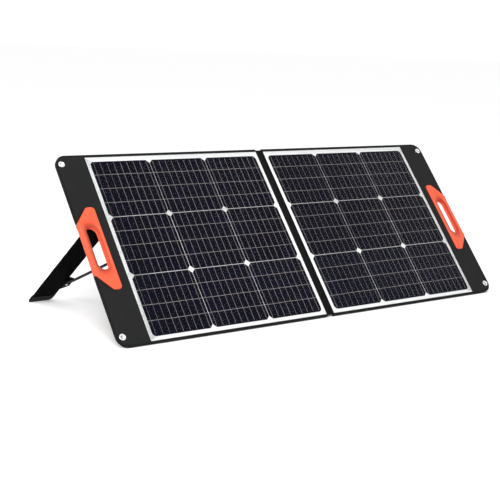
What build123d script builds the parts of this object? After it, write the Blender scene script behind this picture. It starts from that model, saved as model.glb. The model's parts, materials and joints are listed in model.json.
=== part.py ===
from build123d import *
import math
import os

# Folding solar panel for camping: two framed halves on a fabric spine, leaning on two rear legs.
#
# Everything is drawn flat first: X across the panel, Y up the slope from the bottom edge, Z out of the
# front face. The right half is drawn and the left half mirrors it. The legs are drawn stowed against the
# back and swung out. The whole panel is then leaned back, so that its bottom edge and feet stand on
# Z = 0.

# ---- driving sizes of the board
BOARD_WIDTH = 1218.0
BOARD_HEIGHT = 515.0
LEAN = 48.6  # slope of the open panel above the ground, degrees
OUTER_CORNER_R = 29.0
COVER_T = 0.9
CORE_T = 7.2
BINDING_W = 2.5
BINDING_PROUD = 0.3
BINDING_ROUND = 1.2
BOARD_T = CORE_T + 2 * COVER_T
BACK_Z = -BOARD_T

# ---- spine between the halves
SPINE_W = 16.4  # between the two fold lines
SPINE_LAYER_T = 0.8
FOLD_Z = -3.0  # depth of the fold lines behind the front face
FOLD_CLEAR = 0.4
HALF_GAP = SPINE_W / 2 + 1.5 * SPINE_LAYER_T + FOLD_CLEAR  # a folded spine clears the boards' edges
LEAD_W = 14.0
LEAD_PITCH = 60.0

# ---- solar laminate
CELL_W = 165.4
CELL_H = 159.2
CELL_GAP = 0.8
CELL_CHAMFER = 9.0
CELLS_ACROSS = 3
ARRAY_CORNER_R = 11.0
MARGIN_X = 9.0
MARGIN_TOP = 12.8
MARGIN_BOTTOM = 9.3
BORDER_BOTTOM = 5.1
BORDER_SPINE = 0.2
RIBBON_END = 4.0
BACKSHEET_PROUD = 0.3
CELL_T = 0.25
RIBBON_T = 0.15
RIBBON_W = 1.0
RIBBONS_PER_CELL = 9
FILM_T = 0.3
CELL_PITCH_X = CELL_W + CELL_GAP
CELL_PITCH_Y = CELL_H + CELL_GAP
ARRAY_W = CELLS_ACROSS * CELL_PITCH_X - CELL_GAP
ARRAY_H = CELLS_ACROSS * CELL_PITCH_Y - CELL_GAP
LAMINATE_W = ARRAY_W + 2 * MARGIN_X
LAMINATE_H = ARRAY_H + MARGIN_TOP + MARGIN_BOTTOM
LAMINATE_X = HALF_GAP + BINDING_W + BORDER_SPINE
ARRAY_X = LAMINATE_X + MARGIN_X
ARRAY_Y = BORDER_BOTTOM + MARGIN_BOTTOM

# ---- carrying handle
HANDLE_Y = 254.0
HANDLE_H = 222.0
HANDLE_SIDE_H = 138.0
HANDLE_INSET = 57.5
HANDLE_TIP_W = 22.0
HANDLE_TIP_R = 9.0
HANDLE_FRONT_T = 3.8
HANDLE_BACK_T = 1.2
GRIP_W = 12.5
GRIP_BACK_T = 3.8
HOLE_W = 33.5
HOLE_H = 118.0
FLANGE_LAP = 8.0
HANDLE_ROUND = 2.6
MAGNET_R = 5.0
MAGNET_T = 2.0
MAGNET_X = 34.0
MAGNET_DY = 80.0
SCREW_R = 1.5
SCREW_HEAD_R = 2.8
SCREW_HEAD_T = 1.0
SCREW_TIP_COVER = 1.6  # plastic left in front of a screw's tip
SCREW_X = 40.0
SCREW_DY = (72.0, 94.0)

# ---- corner eyelets
EYELET_INSET_X = 14.5
EYELET_INSET_Y = 25.0
EYELET_BORE_R = 4.8
EYELET_WALL = 0.7
EYELET_FLANGE_R = 8.6
EYELET_FLANGE_T = 1.0
EYELET_ROUND = 0.6

# ---- rear legs
LEG_W = 62.0
LEG_LENGTH = 354.0  # from the hinge line to the tip of the foot
LEG_HINGE_INSET = 75.0
LEG_FOOT_INSET = 3.0
LEG_HINGE_Y = 357.0
LEG_T = 6.0
LEG_CLEAR = 2.5  # a stowed leg clears the handle's flange and the eyelets
STIFFENER_T = 4.0
STIFFENER_INSET = 3.0
LEG_END_GAP = 3.0
FOOT_T = 8.0
FOOT_H = 22.0
FOOT_LAP = 14.0
FOOT_CORNER_R = 14.0
SOLE_FLAT = 0.1  # half the flat left under the round sole
LEG_HINGE_Z = BACK_Z - LEG_CLEAR - LEG_T / 2
FLAP_H = 32.0
FLAP_T = 1.6
HEM_R = 2.2
HEM_H = 4.0
HEM_BELOW = 1.5

# ---- stay straps that stop the legs
STRAP_W = 20.0
STRAP_T = 1.2
STRAP_ALONG = 285.0  # where it joins the leg, from the hinge line
STRAP_BOARD_INSET = 88.0
STRAP_BOARD_Y = 230.0
STRAP_GAP = 1.5
TAB_REACH = 22.0
TAB_ROOT = 52.0
TAB_TIP = 30.0
TAB_T = 2.4
TAB_R = 4.0
ANCHOR_W = 24.0
ANCHOR_H = 30.0
ANCHOR_T = 1.4
RIVET_R = 3.2
RIVET_SHANK_R = 1.8
RIVET_PROUD = 0.6
RIVET_BELOW = 8.0  # past the end of the strap

# ---- output box on the back of the right half
BOX_X = 290.0
BOX_Y = 250.0
BOX_W = 132.0
BOX_H = 72.0
BOX_T = 20.0
BOX_WALL = 2.0
BOX_R = 8.0
LID_T = 2.4
PORT_Z = 10.0  # height of the socket centres off the back
USB_A_SIZE = (13.2, 14.0, 5.8)
USB_C_SIZE = (9.2, 8.0, 3.6)
PORT_WALL = 0.5
TONGUE_BACK = 1.5
TONGUE_W_SHARE = 0.7
TONGUE_T_SHARE = 0.16
USB_A_X = -36.0
USB_C_X = -12.0
SOCKET_X = (14.0, 38.0)
SOCKET_R = 5.0
SOCKET_BORE_R = 2.8
SOCKET_DEEP = 14.0
SOCKET_FLOOR = 2.0
SOCKET_RIM_W = 1.2
SOCKET_RIM_T = 0.8
PCB_T = 1.6
PCB_GAP = 2.0
PCB_SIDE_GAP = 22.0
BOX_SCREW_R = 1.5
BOX_SCREW_HEAD_R = 2.7
BOX_SCREW_HEAD_T = 1.1
BOX_SINK = 1.2  # depth of a screw head's seat
BOX_POST_R = 3.9
LID_ROUND = 1.2
BOX_SCREW_L = 14.0
BOX_SCREW_INSET = 7.0
LENS_R = 2.5
LENS_PROUD = 0.4
LENS_X = -46.0
LENS_Y = 10.0
COVER_INSET = 2.0
COVER_STAND_OFF = 1.2
KNUCKLE = 12.0
COVER_LEAF_T = 1.8
COVER_FLOOR_GAP = 0.8
COVER_GAP = 0.4
COVER_PIN_R = 1.0
COVER_BARREL_R = 2.4
RUN_CLEAR = 0.06

# ---- working values: how far a cut runs past a face, a length past everything, and a rounding error
PAST = 1.0
FAR = 60.0
TINY = 1e-3

HALF_W = BOARD_WIDTH / 2
FOOT_CENTRE = LEG_LENGTH - FOOT_T / 2


def cosd(angle):
    return math.cos(math.radians(angle))


def sind(angle):
    return math.sin(math.radians(angle))


def floor_height():
    """Height of the ground under the leaned board, where the rounded binding touches it."""
    y = BINDING_ROUND
    z = BACK_Z - BINDING_PROUD + BINDING_ROUND
    return y * sind(LEAN) + z * cosd(LEAN) - BINDING_ROUND


def swing_angle():
    """How far a leg swings out from stowed until its round foot meets the ground."""
    hinge = LEG_HINGE_Y * sind(LEAN) + LEG_HINGE_Z * cosd(LEAN) - floor_height()
    slope = math.degrees(math.asin((hinge - FOOT_T / 2) / FOOT_CENTRE))
    return 180.0 - LEAN - slope


SWING = swing_angle()


# ---- drawing helpers, all in the flat panel
def slab(face, low, high):
    return extrude(Pos(0, 0, low) * face, amount=high - low)


def rect(x0, y0, x1, y1):
    return Pos((x0 + x1) / 2, (y0 + y1) / 2) * Rectangle(abs(x1 - x0), abs(y1 - y0))


def block(x0, y0, z0, x1, y1, z1):
    return slab(rect(x0, y0, x1, y1), min(z0, z1), max(z0, z1))


def polygon(points):
    return make_face(Polyline(*points, close=True))


def disc(x, y, radius, low, high):
    return slab(Pos(x, y) * Circle(radius), low, high)


def board_face(inset):
    """Outline of one half, with round corners at the far end, drawn in by an inset."""
    face = rect(HALF_GAP + inset, inset, HALF_W - inset, BOARD_HEIGHT - inset)
    far = face.vertices().sort_by(Axis.X)[-2:]
    return fillet(far, OUTER_CORNER_R - inset)


def laminate_face():
    return rect(LAMINATE_X, BORDER_BOTTOM, LAMINATE_X + LAMINATE_W, BORDER_BOTTOM + LAMINATE_H)


def handle_face(lap=0.0):
    """Six-sided handle outline, drawn in by a lap on the three inner sides."""
    far = HALF_W + PAST
    tip = HANDLE_H / 2 - lap
    side = HANDLE_SIDE_H / 2 - lap
    inner = HALF_W - HANDLE_INSET + lap
    points = [
        (far, HANDLE_Y - side),
        (inner + HANDLE_TIP_W, HANDLE_Y - tip),
        (inner, HANDLE_Y - tip),
        (inner, HANDLE_Y + tip),
        (inner + HANDLE_TIP_W, HANDLE_Y + tip),
        (far, HANDLE_Y + side),
    ]
    face = polygon(points)
    tips = [v for v in face.vertices() if v.X < HALF_W]
    return fillet(tips, HANDLE_TIP_R)


def through(face):
    """A cut with this outline, right through the board and all that is on it."""
    return slab(face, -FAR, FAR)


def hand_hole():
    x = HALF_W - GRIP_W - HOLE_W / 2
    return through(Pos(x, HANDLE_Y) * Rot(Z=90) * SlotOverall(HOLE_H, HOLE_W))


def eyelet_places():
    x = HALF_W - EYELET_INSET_X
    return [(x, EYELET_INSET_Y), (x, BOARD_HEIGHT - EYELET_INSET_Y)]


def screw_places():
    x = HALF_W - SCREW_X
    return [(x, HANDLE_Y + side * dy) for side in (-1, 1) for dy in SCREW_DY]


def through_cuts():
    """What passes through a half's board: the handle's boss and the two eyelets."""
    cuts = through(handle_face(FLANGE_LAP))
    for x, y in eyelet_places():
        cuts += through(Pos(x, y) * Circle(EYELET_BORE_R + EYELET_WALL))
    return cuts


# ---- one half of the board
def front_cover():
    return slab(board_face(BINDING_W) - laminate_face(), -COVER_T, 0) - through_cuts()


def core_board():
    return slab(board_face(BINDING_W), BACK_Z + COVER_T, -COVER_T) - through_cuts()


def back_cover():
    return slab(board_face(BINDING_W), BACK_Z, BACK_Z + COVER_T) - through_cuts()


def edge_binding():
    """Tape bound round the edge of a half, open where the handle's grip comes through."""
    low = BACK_Z - BINDING_PROUD
    ring = slab(board_face(0), low, BINDING_PROUD)
    rims = ring.faces().filter_by(Axis.Z)
    ring = fillet(rims.edges(), BINDING_ROUND)
    return ring - through(board_face(BINDING_W)) - through(handle_face())


def square_corners(face):
    """The vertices of a cell's outline that are still corners of its rectangle."""
    corners = []
    for v in face.vertices():
        if abs(abs(v.X) - CELL_W / 2) < TINY and abs(abs(v.Y) - CELL_H / 2) < TINY:
            corners.append(v)
    return corners


def cell_face(column, row):
    """One cell, its corners cut off, or rounded where it is a corner of the whole array."""
    face = Rectangle(CELL_W, CELL_H)
    last = CELLS_ACROSS - 1
    if column in (0, last) and row in (0, last):
        side = 1 if column else -1
        level = 1 if row else -1
        face = fillet([max(face.vertices(), key=lambda v: v.X * side + v.Y * level)], ARRAY_CORNER_R)
    return chamfer(square_corners(face), CELL_CHAMFER)


def cell_faces():
    """The array of cells, in place."""
    cells = []
    for column in range(CELLS_ACROSS):
        for row in range(CELLS_ACROSS):
            x = ARRAY_X + CELL_W / 2 + column * CELL_PITCH_X
            y = ARRAY_Y + CELL_H / 2 + row * CELL_PITCH_Y
            cells.append(Pos(x, y) * cell_face(column, row))
    return cells


def ribbon_faces():
    """Flat copper ribbons that join the cells of each column."""
    ribbons = []
    step = CELL_W / RIBBONS_PER_CELL
    low = ARRAY_Y + RIBBON_END
    high = ARRAY_Y + ARRAY_H - RIBBON_END
    for column in range(CELLS_ACROSS):
        for n in range(RIBBONS_PER_CELL):
            x = ARRAY_X + column * CELL_PITCH_X + (n + 0.5) * step
            ribbons.append(rect(x - RIBBON_W / 2, low, x + RIBBON_W / 2, high))
    return ribbons


CELL_LOW = BACKSHEET_PROUD - CELL_T - RIBBON_T


def solar_cells():
    return [slab(face, CELL_LOW, CELL_LOW + CELL_T) for face in cell_faces()]


def cell_ribbons():
    low = CELL_LOW + CELL_T
    return [slab(face, low, low + RIBBON_T) for face in ribbon_faces()]


def backsheet():
    """White carrier sheet with a shallow pocket for each cell and a groove for each ribbon."""
    sheet = slab(laminate_face(), -COVER_T, BACKSHEET_PROUD)
    pockets = [slab(face, CELL_LOW, FAR) for face in cell_faces()]
    grooves = [slab(face, CELL_LOW + CELL_T, FAR) for face in ribbon_faces()]
    return sheet.cut(*[solid for cut in pockets + grooves for solid in cut.solids()])


def front_film():
    return slab(laminate_face(), BACKSHEET_PROUD, BACKSHEET_PROUD + FILM_T)


def eyelets():
    """Brass eyelets: a front flange and a barrel through the board, one at each end corner."""
    rings = []
    for x, y in eyelet_places():
        outer = EYELET_BORE_R + EYELET_WALL
        ring = disc(x, y, outer, BACK_Z - EYELET_FLANGE_T, EYELET_FLANGE_T)
        ring += disc(x, y, EYELET_FLANGE_R, 0, EYELET_FLANGE_T)
        ring = fillet(ring.edges().filter_by(GeomType.CIRCLE).group_by(Axis.Z)[-1], EYELET_ROUND)
        rings.append(ring - through(Pos(x, y) * Circle(EYELET_BORE_R)))
    return rings


def eyelet_washers():
    washers = []
    for x, y in eyelet_places():
        ring = disc(x, y, EYELET_FLANGE_R, BACK_Z - EYELET_FLANGE_T, BACK_Z)
        washers.append(ring - through(Pos(x, y) * Circle(EYELET_BORE_R + EYELET_WALL)))
    return washers


# ---- handle
def trim_outer(solid):
    """Cut a handle shell off flush with the end of the board."""
    return solid - block(HALF_W, 0, -FAR, HALF_W + FAR, BOARD_HEIGHT, FAR)


def screw_cut(x, y):
    """Room for one countersunk screw, put in from the back."""
    low = BACK_Z - HANDLE_BACK_T
    shank = disc(x, y, SCREW_R, low, HANDLE_FRONT_T - SCREW_TIP_COVER)
    return shank + disc(x, y, SCREW_HEAD_R, low - PAST, low + SCREW_HEAD_T)


def magnet_discs():
    middle = BACK_Z / 2
    x = HALF_W - MAGNET_X
    return [disc(x, HANDLE_Y + side * MAGNET_DY, MAGNET_R, middle, middle + MAGNET_T) for side in (-1, 1)]


def edges_at(solid, level):
    return [e for e in solid.edges() if abs(e.center().Z - level) < TINY]


def rounded_shell(solid, level):
    """Round the outer rim of a shell's face at one height, and the rim of the hand hole in it."""
    return fillet(edges_at(solid, level), HANDLE_ROUND)


def handle_front():
    middle = BACK_Z / 2
    shell = slab(handle_face(), 0, HANDLE_FRONT_T)
    shell += slab(handle_face(FLANGE_LAP), middle, 0)
    shell = trim_outer(shell) - hand_hole()
    shell = rounded_shell(shell, HANDLE_FRONT_T)
    for cut in magnet_discs():
        shell -= cut
    for x, y in screw_places():
        shell -= screw_cut(x, y)
    return shell


def handle_back():
    """Back half: a thin flange that a stowed leg clears, and a full round behind the grip."""
    middle = BACK_Z / 2
    low = BACK_Z - HANDLE_BACK_T
    shell = slab(handle_face(), low, BACK_Z)
    shell += slab(handle_face(FLANGE_LAP), BACK_Z, middle)
    grip_x = HALF_W - GRIP_W
    half = HANDLE_SIDE_H / 2
    grip = block(grip_x, HANDLE_Y - half, BACK_Z - GRIP_BACK_T, HALF_W, HANDLE_Y + half, BACK_Z)
    grip = rounded_shell(grip, BACK_Z - GRIP_BACK_T)
    shell = trim_outer(shell + grip) - hand_hole()
    for x, y in screw_places():
        shell -= screw_cut(x, y)
    return shell


def handle_screws():
    inside = block(0, 0, BACK_Z - HANDLE_BACK_T, HALF_W, BOARD_HEIGHT, FAR)
    return [screw_cut(x, y) & inside for x, y in screw_places()]


# ---- leg, drawn stowed
def leg_edge(along, offset):
    """X of a line along the leg, offset inwards from its outer edge."""
    lean = (LEG_HINGE_INSET - LEG_FOOT_INSET) / LEG_LENGTH
    return HALF_W - LEG_HINGE_INSET + lean * along - offset


def leg_face(start, end, inset=0.0):
    """Strip of the leg between two distances from the hinge line."""
    points = [
        (leg_edge(start, inset), LEG_HINGE_Y - start),
        (leg_edge(end, inset), LEG_HINGE_Y - end),
        (leg_edge(end, LEG_W - inset), LEG_HINGE_Y - end),
        (leg_edge(start, LEG_W - inset), LEG_HINGE_Y - start),
    ]
    return polygon(points)


def leg_slab(face, thickness):
    return slab(face, LEG_HINGE_Z - thickness / 2, LEG_HINGE_Z + thickness / 2)


SLEEVE_END = LEG_LENGTH - FOOT_H + FOOT_LAP


def stiffener():
    face = leg_face(LEG_END_GAP + STIFFENER_INSET, SLEEVE_END - STIFFENER_INSET, STIFFENER_INSET)
    return leg_slab(face, STIFFENER_T)


def sleeve():
    return leg_slab(leg_face(LEG_END_GAP, SLEEVE_END), LEG_T) - stiffener()


def foot():
    """Rubber boot over the end of the leg, round underneath."""
    face = leg_face(LEG_LENGTH - FOOT_H, LEG_LENGTH)
    inner_tip = face.vertices().sort_by(Axis.Y)[:2].sort_by(Axis.X)[0]
    boot = leg_slab(fillet(inner_tip, FOOT_CORNER_R), FOOT_T)
    tip_y = LEG_HINGE_Y - LEG_LENGTH
    sole = [e for e in boot.edges() if abs(e.center().Y - tip_y) < TINY and e.length > FOOT_T]
    boot = fillet(sole, FOOT_T / 2 - SOLE_FLAT)
    return boot - leg_slab(leg_face(LEG_END_GAP, SLEEVE_END), LEG_T)


def tab_point(along, reach):
    return leg_edge(STRAP_ALONG + along, LEG_W + reach), LEG_HINGE_Y - STRAP_ALONG - along


def tab_face():
    """Webbing ear on the leg's inner edge, narrowing outwards."""
    root = TAB_ROOT / 2
    tip = TAB_TIP / 2
    outer = [tab_point(-tip, TAB_REACH), tab_point(tip, TAB_REACH)]
    face = polygon([tab_point(-root, 0), *outer, tab_point(root, 0)])
    return fillet(face.vertices().sort_by(Axis.X)[:2], TAB_R)


def rivet_bar(radius, low, high):
    x, y = tab_point(RIVET_BELOW, TAB_REACH / 2)
    return disc(x, y, radius, LEG_HINGE_Z + low, LEG_HINGE_Z + high)


def strap_tab():
    return leg_slab(tab_face(), TAB_T) - rivet_bar(RIVET_SHANK_R, -TAB_T, TAB_T)


def strap_rivet():
    """Rivet through the tab, with a flat head on each side."""
    half = TAB_T / 2
    bar = rivet_bar(RIVET_SHANK_R, -half, half)
    bar += rivet_bar(RIVET_R, -half - RIVET_PROUD, -half)
    return bar + rivet_bar(RIVET_R, half, half + RIVET_PROUD)


def swung(shape):
    """Swing a piece of the leg out from stowed to standing."""
    axis = Pos(0, LEG_HINGE_Y, LEG_HINGE_Z)
    return axis * Rot(X=SWING) * axis.inverse() * shape


# ---- what holds the leg to the board
def hinge_flap():
    """Webbing sewn to the back, rolled to a hem along the hinge line."""
    x0 = leg_edge(0, LEG_W)
    x1 = leg_edge(0, 0)
    low = LEG_HINGE_Y - HEM_BELOW
    flap = block(x0, low, BACK_Z - FLAP_T, x1, LEG_HINGE_Y + FLAP_H, BACK_Z)
    flap += block(x0, low, LEG_HINGE_Z, x1, LEG_HINGE_Y + HEM_H, BACK_Z)
    hem = Pos((x0 + x1) / 2, LEG_HINGE_Y, LEG_HINGE_Z) * Rot(Y=90) * Cylinder(HEM_R, LEG_W)
    return flap + hem


def strap_anchor():
    patch = Pos(HALF_W - STRAP_BOARD_INSET, STRAP_BOARD_Y) * Rectangle(ANCHOR_W, ANCHOR_H)
    return slab(patch, BACK_Z - ANCHOR_T, BACK_Z)


def swung_point(x, y, z):
    """Where a point of the stowed leg goes when the leg stands."""
    dy = y - LEG_HINGE_Y
    dz = z - LEG_HINGE_Z
    y_out = LEG_HINGE_Y + dy * cosd(SWING) - dz * sind(SWING)
    z_out = LEG_HINGE_Z + dy * sind(SWING) + dz * cosd(SWING)
    return Vector(x, y_out, z_out)


def stay_strap():
    """Flat webbing, pulled tight from its anchor on the back to the tab of the standing leg."""
    start = Vector(HALF_W - STRAP_BOARD_INSET, STRAP_BOARD_Y, BACK_Z - ANCHOR_T - STRAP_T / 2)
    x, y = tab_point(0, TAB_REACH / 2)
    end = swung_point(x, y, LEG_HINGE_Z + TAB_T / 2 + STRAP_T / 2)
    run = end - start
    length = run.length - STRAP_GAP
    plane = Plane(origin=start, x_dir=run.normalized(), z_dir=run.cross(Vector(1, 0, 0)).normalized())
    return plane * (Pos(length / 2, 0, 0) * Box(length, STRAP_W, STRAP_T))


# ---- spine
def spine_layer(top):
    half = SPINE_W / 2 - FOLD_CLEAR
    low = top - SPINE_LAYER_T
    return block(-half, BINDING_W, low, half, BOARD_HEIGHT - BINDING_W, top)


def lead_places():
    return [BOARD_HEIGHT / 2 + side * LEAD_PITCH / 2 for side in (-1, 1)]


def crossover_leads():
    """Two flat leads that join the halves' circuits inside the spine."""
    half = SPINE_W / 2 - FOLD_CLEAR
    low = FOLD_Z - SPINE_LAYER_T / 2
    high = low + SPINE_LAYER_T
    return [block(-half, y - LEAD_W / 2, low, half, y + LEAD_W / 2, high) for y in lead_places()]


def spine_parts():
    top = FOLD_Z + 1.5 * SPINE_LAYER_T
    filler = spine_layer(top - SPINE_LAYER_T)
    for lead in crossover_leads():
        filler -= lead
    return {
        "spine_front_cover": [spine_layer(top)],
        "spine_filler": [filler],
        "spine_back_cover": [spine_layer(top - 2 * SPINE_LAYER_T)],
        "crossover_leads": crossover_leads(),
    }


# ---- output box, drawn about its own centre with its open side up, then set on the back
def box_face(inset=0.0):
    return RectangleRounded(BOX_W - 2 * inset, BOX_H - 2 * inset, BOX_R - inset)


BOX_FRONT_Y = -BOX_H / 2  # the side with the sockets


def usb_cut(x, size):
    width, depth, height = size
    return Pos(x, BOX_FRONT_Y + depth / 2, PORT_Z) * Box(width, depth, height)


def box_corner_places():
    x = BOX_W / 2 - BOX_SCREW_INSET
    y = BOX_H / 2 - BOX_SCREW_INSET
    return [(a * x, b * y) for a in (-1, 1) for b in (-1, 1)]


def socket_barrel(x, radius, start, end):
    """Round bar along Y between two depths behind the socket side."""
    middle = BOX_FRONT_Y + (start + end) / 2
    return Pos(x, middle, PORT_Z) * Rot(X=90) * Cylinder(radius, end - start)


def box_base():
    """Tray glued to the back cover, with posts for the lid screws and openings for the sockets."""
    rim = BOX_T - LID_T
    tray = slab(box_face(), 0, rim) - slab(box_face(BOX_WALL), BOX_WALL, rim + PAST)
    for x, y in box_corner_places():
        tray += disc(x, y, BOX_POST_R, BOX_WALL, rim)
        tray -= disc(x, y, BOX_SCREW_R, 2 * BOX_WALL, rim + PAST)
    tray -= usb_cut(USB_A_X, USB_A_SIZE)
    tray -= usb_cut(USB_C_X, USB_C_SIZE)
    for x in SOCKET_X:
        tray -= socket_barrel(x, SOCKET_R, -PAST, SOCKET_DEEP)
    return tray


def box_lid():
    lid = slab(box_face(), BOX_T - LID_T, BOX_T)
    lid = fillet(lid.edges().group_by(Axis.Z)[-1], LID_ROUND)
    for x, y in box_corner_places():
        lid -= disc(x, y, BOX_SCREW_R, 0, BOX_T + PAST)
        lid -= disc(x, y, BOX_SCREW_HEAD_R, BOX_T - BOX_SINK, BOX_T + PAST)
    return lid - disc(LENS_X, LENS_Y, LENS_R, 0, BOX_T + PAST)


def indicator_lens():
    return disc(LENS_X, LENS_Y, LENS_R, BOX_T - LID_T, BOX_T + LENS_PROUD)


def box_screws():
    screws = []
    for x, y in box_corner_places():
        seat = BOX_T - BOX_SINK
        screw = disc(x, y, BOX_SCREW_R, BOX_T - BOX_SCREW_L, seat)
        screws.append(screw + disc(x, y, BOX_SCREW_HEAD_R, seat, seat + BOX_SCREW_HEAD_T))
    return screws


def circuit_board():
    """Board between the lid's posts, behind the sockets."""
    width = BOX_W - 2 * BOX_WALL - PCB_SIDE_GAP
    low = BOX_FRONT_Y + SOCKET_DEEP + PCB_GAP
    face = rect(-width / 2, low, width / 2, BOX_H / 2 - BOX_WALL - PCB_GAP)
    return slab(face, BOX_WALL, BOX_WALL + PCB_T)


def usb_shell(x, size):
    """Pressed steel receptacle, open to the outside, with its contact tongue."""
    width, depth, height = size
    inside = (width - 2 * PORT_WALL, depth, height - 2 * PORT_WALL)
    hollow = Pos(0, -PORT_WALL, 0) * usb_cut(x, inside)
    tongue = usb_cut(x, (inside[0] * TONGUE_W_SHARE, depth - TONGUE_BACK, height * TONGUE_T_SHARE))
    return (usb_cut(x, size) - hollow) + Pos(0, TONGUE_BACK, 0) * tongue


def dc_sockets():
    """Round output sockets, closed at the bottom."""
    sockets = []
    for x in SOCKET_X:
        body = socket_barrel(x, SOCKET_R, 0, SOCKET_DEEP)
        body += socket_barrel(x, SOCKET_R + SOCKET_RIM_W, -SOCKET_RIM_T, 0)
        floor = SOCKET_DEEP - SOCKET_FLOOR
        sockets.append(body - socket_barrel(x, SOCKET_BORE_R, -SOCKET_RIM_T - PAST, floor))
    return sockets


COVER_X0 = -BOX_W / 2 + BOX_R + COVER_INSET
COVER_X1 = BOX_W / 2 - BOX_R - COVER_INSET
COVER_Y = BOX_FRONT_Y - COVER_STAND_OFF - COVER_BARREL_R
COVER_Z = BOX_T - LID_T - COVER_BARREL_R


def along_x(x0, x1, radius):
    return Pos((x0 + x1) / 2, COVER_Y, COVER_Z) * Rot(Y=90) * Cylinder(radius, x1 - x0)


def cover_ears():
    """Two ears on the box that hold the pin of the port cover."""
    ears = []
    for x0, x1 in ((COVER_X0, COVER_X0 + KNUCKLE), (COVER_X1 - KNUCKLE, COVER_X1)):
        ear = along_x(x0, x1, COVER_BARREL_R)
        ear += block(x0, COVER_Y, COVER_Z - COVER_BARREL_R, x1, BOX_FRONT_Y, COVER_Z + COVER_BARREL_R)
        ears.append(ear - along_x(x0 - PAST, x1 + PAST, COVER_PIN_R))
    return ears


def port_cover():
    """Hinged dust cover over the sockets, closed down to the back of the panel."""
    x0 = COVER_X0 + KNUCKLE + COVER_GAP
    x1 = COVER_X1 - KNUCKLE - COVER_GAP
    y0 = COVER_Y - COVER_LEAF_T / 2
    y1 = COVER_Y + COVER_LEAF_T / 2
    below_ears = COVER_Z - COVER_BARREL_R - COVER_GAP
    leaf = block(COVER_X0, y0, COVER_FLOOR_GAP, COVER_X1, y1, below_ears)
    leaf += block(x0, y0, COVER_FLOOR_GAP, x1, y1, COVER_Z)
    leaf += along_x(x0, x1, COVER_BARREL_R)
    return leaf - along_x(x0 - PAST, x1 + PAST, COVER_PIN_R + RUN_CLEAR)


def output_box_parts():
    parts = {
        "output_box_base": [box_base().fuse(*cover_ears())],
        "output_box_lid": [box_lid()],
        "output_box_screws": box_screws(),
        "circuit_board": [circuit_board()],
        "usb_a_port": [usb_shell(USB_A_X, USB_A_SIZE)],
        "usb_c_port": [usb_shell(USB_C_X, USB_C_SIZE)],
        "dc_sockets": dc_sockets(),
        "indicator_lens": [indicator_lens()],
        "port_cover": [port_cover()],
        "port_cover_pin": [along_x(COVER_X0, COVER_X1, COVER_PIN_R)],
    }
    seat = Pos(BOX_X, BOX_Y, BACK_Z) * Rot(Y=180)
    return {name: [seat * solid for solid in solids] for name, solids in parts.items()}


# ---- the whole panel
def half_parts():
    return {
        "front_cover": [front_cover()],
        "core_board": [core_board()],
        "back_cover": [back_cover()],
        "edge_binding": [edge_binding()],
        "backsheet": [backsheet()],
        "solar_cells": solar_cells(),
        "cell_ribbons": cell_ribbons(),
        "front_film": [front_film()],
        "handle_front": [handle_front()],
        "handle_back": [handle_back()],
        "handle_screws": handle_screws(),
        "handle_magnets": magnet_discs(),
        "eyelets": eyelets(),
        "eyelet_washers": eyelet_washers(),
        "leg_hinge_flap": [hinge_flap()],
        "strap_anchor": [strap_anchor()],
        "stay_strap": [stay_strap()],
        "leg_sleeve": [swung(sleeve())],
        "leg_stiffener": [swung(stiffener())],
        "leg_foot": [swung(foot())],
        "leg_strap_tab": [swung(strap_tab())],
        "leg_strap_rivet": [swung(strap_rivet())],
    }


def all_parts():
    parts = spine_parts()
    parts.update(output_box_parts())
    for name, solids in half_parts().items():
        parts["right_" + name] = solids
        parts["left_" + name] = [mirror(solid, about=Plane.YZ) for solid in solids]
    return parts


def standing():
    """Lean the panel back and put the middle of its footprint at the origin, on the ground."""
    lean = Rot(X=LEAN)
    back = (lean * swung(foot())).bounding_box().max.Y
    front = (lean * edge_binding()).bounding_box().min.Y
    return Pos(0, -(front + back) / 2, -floor_height()) * lean


def main():
    os.makedirs("parts", exist_ok=True)
    place = standing()
    for name, solids in all_parts().items():
        pieces = [piece for solid in solids for piece in (place * solid).solids()]
        export_step(Compound(children=pieces, label=name), "parts/" + name + ".step")


main()
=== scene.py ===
# %% [markdown]
# # A folding solar panel
# The panel is two stiff boards on a fabric spine. Each board carries nine dark solar cells under a clear
# film, a dark grey fabric border, a black bound edge, an orange moulded handle and two metal eyelets. It
# leans back on two black legs, and a strap stops each leg. The engineering model gives every size and
# every joint, so the first step is to load it and to leave it where it is.

# %% Load the engineering model
import json
import math

import bmesh
import bpy
from mathutils import Matrix, Vector, noise


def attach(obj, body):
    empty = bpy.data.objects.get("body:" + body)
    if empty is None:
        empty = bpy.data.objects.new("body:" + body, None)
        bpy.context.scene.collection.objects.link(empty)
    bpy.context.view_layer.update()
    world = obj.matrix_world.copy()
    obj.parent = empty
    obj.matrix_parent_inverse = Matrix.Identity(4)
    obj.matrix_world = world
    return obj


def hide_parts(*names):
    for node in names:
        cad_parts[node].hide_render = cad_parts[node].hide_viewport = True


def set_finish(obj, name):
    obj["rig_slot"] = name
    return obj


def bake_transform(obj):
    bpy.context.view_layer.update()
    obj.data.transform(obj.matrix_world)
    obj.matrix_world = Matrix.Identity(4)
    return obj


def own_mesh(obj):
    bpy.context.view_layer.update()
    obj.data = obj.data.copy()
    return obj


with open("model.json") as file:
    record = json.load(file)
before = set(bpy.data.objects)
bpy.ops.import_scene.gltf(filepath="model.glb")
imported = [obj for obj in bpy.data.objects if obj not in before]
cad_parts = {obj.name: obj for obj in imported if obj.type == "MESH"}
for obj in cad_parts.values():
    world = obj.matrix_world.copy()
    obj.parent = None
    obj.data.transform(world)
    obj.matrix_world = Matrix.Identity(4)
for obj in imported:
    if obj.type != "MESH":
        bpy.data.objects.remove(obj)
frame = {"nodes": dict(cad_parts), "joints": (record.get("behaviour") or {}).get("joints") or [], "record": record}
nodes = frame["nodes"]
joints = {joint["name"]: joint for joint in frame["joints"]}
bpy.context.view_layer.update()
SIDES = (("left", -1), ("right", 1))
MM = 0.001

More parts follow.
